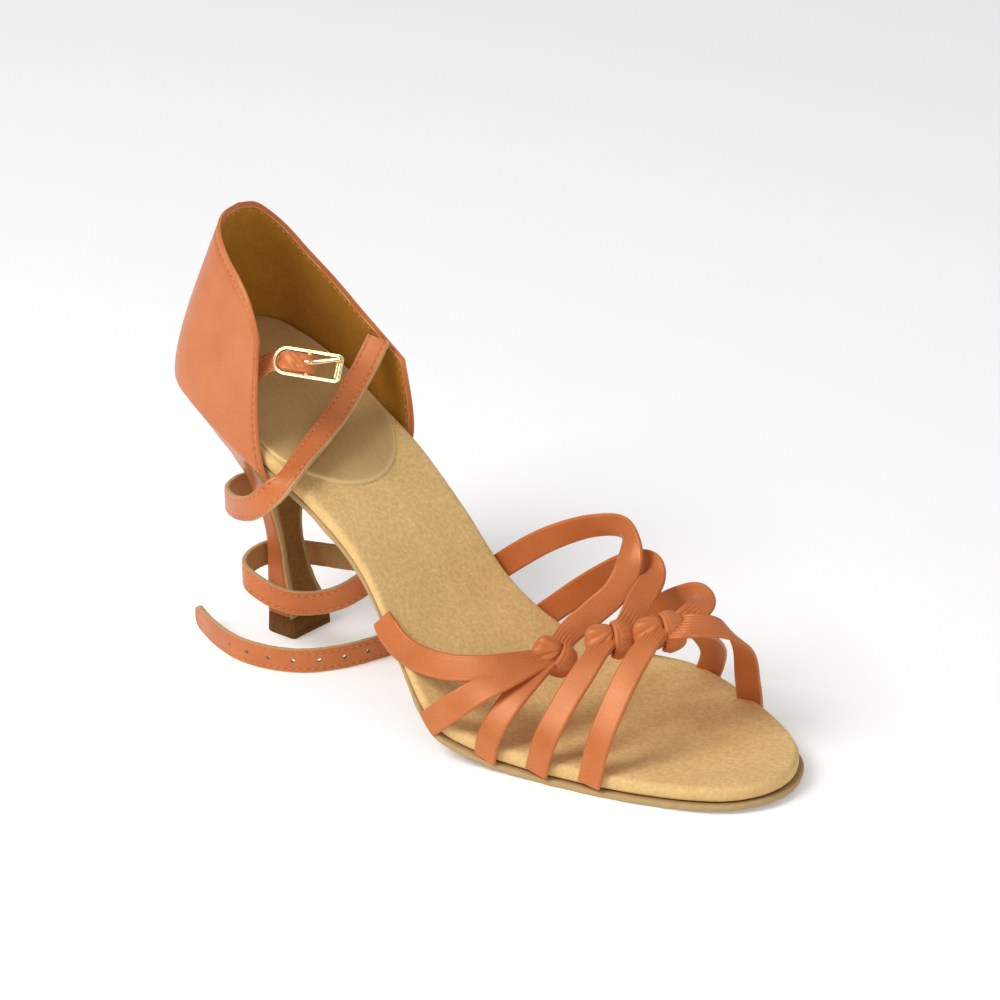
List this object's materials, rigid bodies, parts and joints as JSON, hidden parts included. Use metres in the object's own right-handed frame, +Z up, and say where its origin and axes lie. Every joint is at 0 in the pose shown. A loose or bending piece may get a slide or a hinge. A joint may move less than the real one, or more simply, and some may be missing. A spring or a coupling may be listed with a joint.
{
  "type": "latin dance shoe",
  "caption": "Right women's open-toe dance sandal with knotted satin straps, closed heel cup, slim flared heel, suede sole and a long unfastened ankle strap.",
  "frame": {"origin": "middle of the heel tip's underside, on the floor", "axes": "+X from heel to toe, +Y to the inner side of the foot, +Z up"},
  "size_m": [0.2246, 0.0892, 0.1323],
  "materials": {
    "satin": "smooth tan satin with a soft sheen",
    "outsole_suede": "raw suede with a fuzzy edge",
    "insole_suede": "fine light suede",
    "sock_leather": "matt sock leather, no print",
    "top_lift": "brown suede-faced tip",
    "buckle_metal": "polished pale gold plate"
  },
  "bodies": {
    "shoe": {"outsole": "outsole_suede", "insole": "insole_suede", "heel_pad": "sock_leather", "heel": "satin", "top_lift": "top_lift", "counter": "satin", "vamp_straps": "satin", "ankle_strap": "satin", "buckle_tab": "satin"},
    "buckle": {"buckle_frame": "buckle_metal"},
    "prong": {"buckle_prong": "buckle_metal"}
  },
  "joints": [
    {"name": "buckle_swing", "type": "hinge", "parent": "shoe", "child": "buckle", "pos_m": [0.0255, -0.0176, 0.0984], "axis": [-0.1387, 0.4742, 0.8694], "range_deg": [0, 60]},
    {"name": "prong_swing", "type": "hinge", "parent": "buckle", "child": "prong", "pos_m": [0.0255, -0.0176, 0.0984], "axis": [-0.1387, 0.4742, 0.8694], "range_deg": [-100, 0]}
  ]
}
